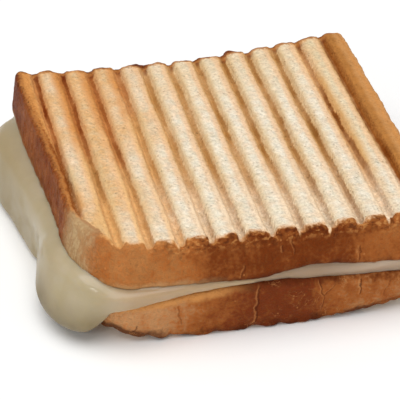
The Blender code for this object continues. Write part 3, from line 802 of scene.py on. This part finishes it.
def withCornerHighlight(m, crust):
    # a painted highlight in upright streaks round the front left corner, a lighter line where it ends and a
    # brown patch above it
    look, turn, streaking = m.look, m.mark("turn"), m.streaks * 16
    corner = (turn + streaking * 0.4).ease(*look["cornerStart"]) * (turn + streaking).ease(*look["cornerEnd"])
    # painted highlight: tan round the corner, with paler upright streaks over it
    crust = m.mix(corner * look["cornerShare"], crust, look["cornerHighlightTan"])
    pale = corner * (m.rawStreaks.ease(0.46, 0.62) * 0.8).above(m.rise.ease(0.14, 0.0) * 0.5)
    crust = m.mix(pale * look["paleShare"], crust, look["cornerHighlightPale"])
    m.cornerNear = m.roundSpot(look["cornerAt"], look["cornerSize"])
    onFace = (m.inward + m.medium * 1.5).ease(-0.6, 0.4)
    return m.mix(m.cornerNear * onFace * 0.75, crust, look["cornerBrown"])


def toastFinish(name, look, outward):
    m = ToastLook(name, look, outward)
    surface = withRims(m, withGrooveWalls(m, crumbColour(m)))
    surface = withScorches(m, withGrooveLines(m, surface))
    crack, lip = crackMasks(m)
    crust = m.mix(crack, m.mix(lip, crustColour(m), look["fleck"]), look["crustDeep"])
    crust = withCornerHighlight(m, crust)

    # where the pale face gives way to crust; on top a pale tongue laps over the edge at each groove's end
    border = m.inward + 0.10 + m.patch * 3.0 * m.atFront + m.medium * 3.0 + m.fine * 2.0
    if outward > 0:
        reach = (m.noise(0.010, 1, shift=0.4) * 6.0 - 1.4).above(0.3).below(2.6)
        border = border + m.off.hump(-0.14, 0.11) * m.atFront * reach - m.cornerNear * 1.8
    onCrust = border.ease(0.50, -0.60)
    edgeGlow = (1 - m.cornerNear) * border.hump(0.1, 1.5)
    surface = m.mix(edgeGlow * 0.5, surface, look["orange"])
    crust = m.mix(edgeGlow * 0.45, crust, look["rimOrange"])
    m.give("Base Color", m.mix(onCrust, surface, crust))

    # heights of the fine relief are in metres
    height = m.fine * (0.00040 + onCrust * 0.00025) + m.grit * (0.00022 - onCrust * 0.00012)
    height = height + m.streaks * onCrust * 0.00020 + (m.noise(0.0021, 2) - 0.5) * onCrust * 0.00050
    if outward > 0:
        height = height + m.knobHeight * 0.0012
    pores = m.cells(0.0014).ease(0.30, 0.10) * (1 - onCrust) * m.noise(0.006, 1).ease(0.42, 0.56)
    lines = m.wrinkles * 0.00008 + lip * 0.00010 - crack * 0.00030
    m.bump(height - pores * 0.00025 + onCrust * lines)
    m.give("Roughness", (0.78 - onCrust * 0.22 + m.medium * 0.3).below(1.0))
    return m.material


def makeSlice(name, node, outward, look):
    points, faces, marks = sliceSheet(outward, look)
    piece = meshPiece(name, points, faces, marks)
    normals = readVectors(piece.data.vertex_normals, "vector")
    movePoints(piece.data, crustAndCrumb(points, normals, marks, look, outward))
    piece.data.materials.append(toastFinish(name + "Finish", look, outward))
    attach(piece, "root")
    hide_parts(node)
    print(name, "made,", len(piece.data.polygons), "faces")
    return piece


topSlice = makeSlice("topSliceToasted", "top_slice", 1, topSliceLook)
bottomSlice = makeSlice("bottomSliceToasted", "bottom_slice", -1, bottomSliceLook)


cheeseForm = dict(
    # cheese that has run out: distance along the crust from the back left corner, height where it leaves
    # the top slice, how far its shoulder and its foot stand out, height of the foot
    stages=(
        (0.000, 0.0192, 0.0004, 0.0004, 0.0140), (0.004, 0.0196, 0.0062, 0.0082, 0.0060),
        (0.012, 0.0208, 0.0084, 0.0112, 0.0004), (0.022, 0.0210, 0.0084, 0.0108, 0.0),
        (0.034, 0.0214, 0.0074, 0.0088, 0.0), (0.047, 0.0219, 0.0064, 0.0074, 0.0),
        (0.055, 0.0223, 0.0060, 0.0066, 0.0), (0.061, 0.0226, 0.0056, 0.0060, 0.0003),
        (0.066, 0.0228, 0.0052, 0.0052, 0.0034), (0.073, 0.0231, 0.0054, 0.0064, 0.0044),
        (0.083, 0.0236, 0.0060, 0.0080, 0.0046), (0.092, 0.0240, 0.0064, 0.0092, 0.0042),
        (0.099, 0.0242, 0.0062, 0.0092, 0.0040), (0.105, 0.0240, 0.0054, 0.0084, 0.0042),
        (0.109, 0.0234, 0.0046, 0.0066, 0.0054), (0.112, 0.0226, 0.0038, 0.0036, 0.0092),
        (0.115, 0.0219, 0.0032, 0.0026, 0.0132), (0.120, 0.0214, 0.0026, 0.0020, 0.0150),
        (0.128, 0.0209, 0.0018, 0.0012, 0.0162), (0.138, 0.0205, 0.0010, 0.0004, 0.0172),
        (0.149, 0.0200, 0.0003, -0.0002, 0.0182), (0.160, 0.0194, -0.0003, -0.0006, 0.0184),
    ),
    stations=260, sectionPoints=60, lineStep=0.001, lineReach=0.0040,
    root=0.0050,  # how far it reaches in between the slices
    # the layer between the slices, deeper than the gap so that the bread can be cut from it
    fillingLow=0.0125, fillingHigh=0.0265, fillingMiddle=0.0196, fillingRings=20,
    fillingInset=0.0006, fillingBulge=0.0012, bulgeHalf=0.0030,
    wander=0.0005, wanderSize=(0.012, 0.012, 0.006),
    voxel=0.0006, smoothing=14, dimples=0.00025, dimpleSize=(0.011, 0.011, 0.007), seed=61,
    # all over, then painted shade on the outer side, near the floor and along the strip between the slices,
    # lighter towards the strip's right end
    colour=tone(184, 169, 141), murky=tone(166, 150, 112), side=tone(158, 140, 104), low=tone(102, 84, 38),
    front=tone(176, 149, 115), shaded=tone(160, 134, 108), pale=tone(180, 155, 130),
    frontSpan=(-0.020, 0.001), sideSpan=(-0.051, -0.062), shadedSpan=(-0.004, 0.012), paleSpan=(0.024, 0.046),
)


def easedRows(stages, distances):
    # the stages' values at each distance, eased from one to the next
    at = np.interp(distances, stages[:, 0], np.arange(len(stages)))
    low = np.minimum(at.astype(int), len(stages) - 2)
    share = (at - low)[:, None]
    before, here = stages[np.maximum(low - 1, 0), 1:], stages[low, 1:]
    there, after = stages[low + 1, 1:], stages[np.minimum(low + 2, len(stages) - 1), 1:]
    bend = 2 * here + (there - before) * share + (2 * before - 5 * here + 4 * there - after) * share**2
    return (bend + (3 * here - before - 3 * there + after) * share**3) / 2


def cheeseSection(top, shoulder, foot, footHeight):
    # points of (distance out from the crust, height), from inside the gap and round
    fall, root = top - footHeight, cheeseForm["root"]
    corners = np.array((
        (-root, footHeight + 0.7 * fall), (-root, top), (-0.0012, top + 0.0001),
        (shoulder * 0.45, top - min(0.0006, 0.08 * fall)), (shoulder * 0.85, top - min(0.0026, 0.18 * fall)),
        (shoulder * 0.98 + foot * 0.05, top - 0.30 * fall),
        (shoulder * 0.45 + foot * 0.58, top - 0.56 * fall),
        (foot, footHeight + 0.18 * fall), (foot * 0.88, footHeight + 0.05 * fall), (foot * 0.55, footHeight),
        (-0.0020, footHeight + 0.0002), (-root, footHeight + 0.35 * fall),
    ))
    closed = np.concatenate([corners, corners[:1]])
    rows = np.column_stack([np.arange(len(closed)), closed])
    at = np.linspace(0, len(corners), cheeseForm["sectionPoints"], endpoint=False)
    return easedRows(rows, at)


def widestLine():
    # the crust's widest line in plan, from the back left corner along the left to the front right
    rim, rows, columns = planRim(cheeseForm["lineStep"])
    line = rim + rimNormals(rim) * (bread["crustReach"] * flareOf(rim))[:, None]
    start = 2 * columns + rows - 3
    return np.concatenate([line[start:], line[:columns]])


def runOutMesh():
    stages, reach = np.array(cheeseForm["stages"]), cheeseForm["lineReach"]
    distances = np.linspace(stages[0, 0], stages[-1, 0], cheeseForm["stations"])
    line = widestLine()
    run = runAlong(line)
    normals = outwardOf(unit(pairsAt(distances + reach, run, line) - pairsAt(distances - reach, run, line)))
    eased = easedRows(stages, distances)
    eased[:, 3] = np.maximum(eased[:, 3], 0.0)
    rings = []
    for k, at in enumerate(pairsAt(distances, run, line)):
        section = cheeseSection(*eased[k])
        rings.append(np.column_stack([at + normals[k] * section[:, :1], section[:, 1]]))
    return tubeOf(rings)


def fillingMesh():
    form, rings = cheeseForm, []
    rim, _, _ = planRim(form["lineStep"])
    normals = rimNormals(rim)
    for level in np.linspace(form["fillingLow"], form["fillingHigh"], form["fillingRings"]):
        aside = abs(level - form["fillingMiddle"]) / form["bulgeHalf"]
        bulge = form["fillingBulge"] * (1 - min(aside, 1.0) ** 2)
        at = np.column_stack([rim, np.full(len(rim), level)])
        out = bread["crustReach"] - form["fillingInset"] - form["fillingBulge"] + bulge
        out = out + form["wander"] * lumps(at, form["wanderSize"], form["seed"], 2)
        rings.append(np.column_stack([rim + normals * out[:, None], at[:, 2]]))
    return tubeOf(rings)


def tubeOf(rings):
    # a closed skin through rings with equal numbers of points
    count = len(rings[0])
    faces = []
    for k in range(len(rings) - 1):
        here = k * count + np.arange(count)
        faces += np.stack([here, np.roll(here, -1), np.roll(here, -1) + count, here + count], -1).tolist()
    last = (len(rings) - 1) * count
    faces += [list(range(count))[::-1], [last + k for k in range(count)]]
    return np.concatenate(rings), faces


def applyAll(piece):
    graph = bpy.context.evaluated_depsgraph_get()
    data = bpy.data.meshes.new_from_object(piece.evaluated_get(graph))
    piece.modifiers.clear()
    piece.data = data


def makeCheese():
    # what has run out and the layer between the slices melt into one skin, and the bread is cut from it
    form = cheeseForm
    points, faces = runOutMesh()
    piece = meshPiece("cheeseMelted", points + standAt, faces)
    points, faces = fillingMesh()
    layer = meshPiece("fillingBlank", points + standAt, faces)
    for thing in (piece, layer):
        thing.data.validate()  # drops broken faces before the join
    joined = piece.modifiers.new("join", "BOOLEAN")
    joined.operation, joined.object, joined.solver = "UNION", layer, "EXACT"
    grid = piece.modifiers.new("grid", "REMESH")
    grid.mode, grid.voxel_size = "VOXEL", form["voxel"]
    soft = piece.modifiers.new("soften", "SMOOTH")
    soft.iterations, soft.factor = form["smoothing"], 0.5
    applyAll(piece)
    points = readVectors(piece.data.vertices, "co")
    normals = readVectors(piece.data.vertex_normals, "vector")
    stand = form["dimples"] * lumps(points, form["dimpleSize"], form["seed"] + 3, 2)
    movePoints(piece.data, points + normals * stand[:, None])
    for toast in (topSlice, bottomSlice):
        cut = piece.modifiers.new("fit", "BOOLEAN")
        cut.operation, cut.object, cut.solver = "DIFFERENCE", toast, "MANIFOLD"
    applyAll(piece)
    bpy.data.objects.remove(layer)
    piece.data.shade_smooth()
    piece.data.materials.clear()
    piece.data.materials.append(cheeseFinish())
    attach(piece, "root")
    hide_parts("cheese")
    print("cheese made,", len(piece.data.polygons), "faces")


def cheeseFinish():
    form = cheeseForm
    m = Look(
        "cheeseMeltedFinish", Roughness=0.40, Specular_IOR_Level=0.20, Coat_Roughness=0.10,
        Subsurface_Weight=0.45, Subsurface_Radius=(0.006, 0.0045, 0.0025), Subsurface_Scale=1.0,
    )
    x, y, z = m.axes()
    rawCloud = m.noise(0.012, 2)
    cloud, fine = rawCloud - 0.5, m.noise(0.0016, 2) - 0.5
    # painted shade on the outer side of what has run out
    side = (x + cloud * 0.008).ease(*form["sideSpan"])
    colour = m.mix(rawCloud.ease(0.32, 0.70) * 0.7, form["colour"], form["murky"])
    colour = m.mix(side * y.ease(-0.056, -0.034), colour, form["side"])
    # painted shade near the floor, weaker away from the front
    floorShadeShare = (z * 100 + cloud * 1.2).ease(2.0, 0.2) * (1 - y.ease(-0.040, -0.020) * 0.75)
    colour = m.mix(floorShadeShare, colour, form["low"])
    # painted shade on the strip between the slices, lighter towards its right end
    stripShade = m.mix(x.ease(*form["shadedSpan"]), form["front"], form["shaded"])
    stripShade = m.mix(x.ease(*form["paleSpan"]), stripShade, form["pale"])
    colour = m.mix((x - y * 0.5).ease(*form["frontSpan"]), colour, stripShade)
    m.give("Base Color", m.shade(colour, 1.0 + fine * 0.06))
    m.give("Roughness", 0.34 + rawCloud * 0.16 + fine * 0.06)
    m.give("Coat Weight", m.noise(0.009, 1, shift=0.3).ease(0.30, 0.60) * (0.7 - side * 0.5))
    m.bump(cloud * 0.0002 + fine * 0.00004, 0.8)
    return m.material


makeCheese()


# a pale floor, soft light from above, and two small lamps for the highlights on the cheese
studio = dict(
    floor=tone(252, 252, 251), floorHalf=2.0, world=0.46,
    key=1.9, keySpread=60.0, keyFrom=(-0.12, -0.10, 0.90),
    fill=0.5, fillAt=(-0.40, -0.52, 0.42), fillSize=0.15,
    glint=0.38, glintAt=(0.02, -0.90, 0.07), glintSize=0.10,
)

# the photo's viewing angle; the place is in the toast's own frame, and the roll is in degrees
view = dict(
    ahead=(0.18358544, 0.81335085, -0.55204781), at=(-0.12884, -0.55082, 0.38724), roll=0.23,
    sensor=36.0, lens=184.05, nearest=0.01,
)


def makeFloor():
    half = studio["floorHalf"]
    corners = np.array([(-half, -half, 0), (half, -half, 0), (half, half, 0), (-half, half, 0)], float)
    floor = meshPiece("floor", corners, [[0, 1, 2, 3]])
    m = Look("floorPale", Roughness=0.9)
    m.shader.inputs["Base Color"].default_value = studio["floor"]
    floor.data.materials.append(m.material)


def makeLight(name, kind, at, power):
    # a lamp that points at the origin
    lamp = bpy.data.lights.new(name, kind)
    lamp.energy = power
    thing = bpy.data.objects.new(name, lamp)
    thing.location = at
    thing.rotation_mode = "QUATERNION"
    thing.rotation_quaternion = (-Vector(at)).to_track_quat("-Z", "Y")
    bpy.context.scene.collection.objects.link(thing)
    return lamp


def makeWorld():
    world = bpy.data.worlds.new("studioWorld")
    world.use_nodes = True
    background = world.node_tree.nodes["Background"]
    background.inputs["Color"].default_value = (1, 1, 1, 1)
    background.inputs["Strength"].default_value = studio["world"]
    bpy.context.scene.world = world
    bpy.context.scene.view_settings.view_transform = "Standard"


def makeCamera():
    ahead = Vector(view["ahead"]).normalized()
    level = ahead.cross(Vector((0, 0, 1))).normalized()
    upright = level.cross(ahead)
    turn = math.radians(view["roll"])
    right = math.cos(turn) * level + math.sin(turn) * upright
    up = math.cos(turn) * upright - math.sin(turn) * level
    at = Vector(view["at"]) + Vector(standAt)
    lens = bpy.data.cameras.new("camera")
    lens.sensor_width, lens.lens, lens.clip_start = view["sensor"], view["lens"], view["nearest"]
    camera = bpy.data.objects.new("camera", lens)
    camera.matrix_world = Matrix.Translation(at) @ Matrix((right, up, -ahead)).transposed().to_4x4()
    bpy.context.scene.collection.objects.link(camera)
    bpy.context.scene.camera = camera


makeFloor()
makeLight("keyLight", "SUN", studio["keyFrom"], studio["key"]).angle = math.radians(studio["keySpread"])
makeLight("fillLight", "AREA", studio["fillAt"], studio["fill"]).size = studio["fillSize"]
makeLight("glintLight", "AREA", studio["glintAt"], studio["glint"]).size = studio["glintSize"]
makeWorld()
makeCamera()
print("studio ready")
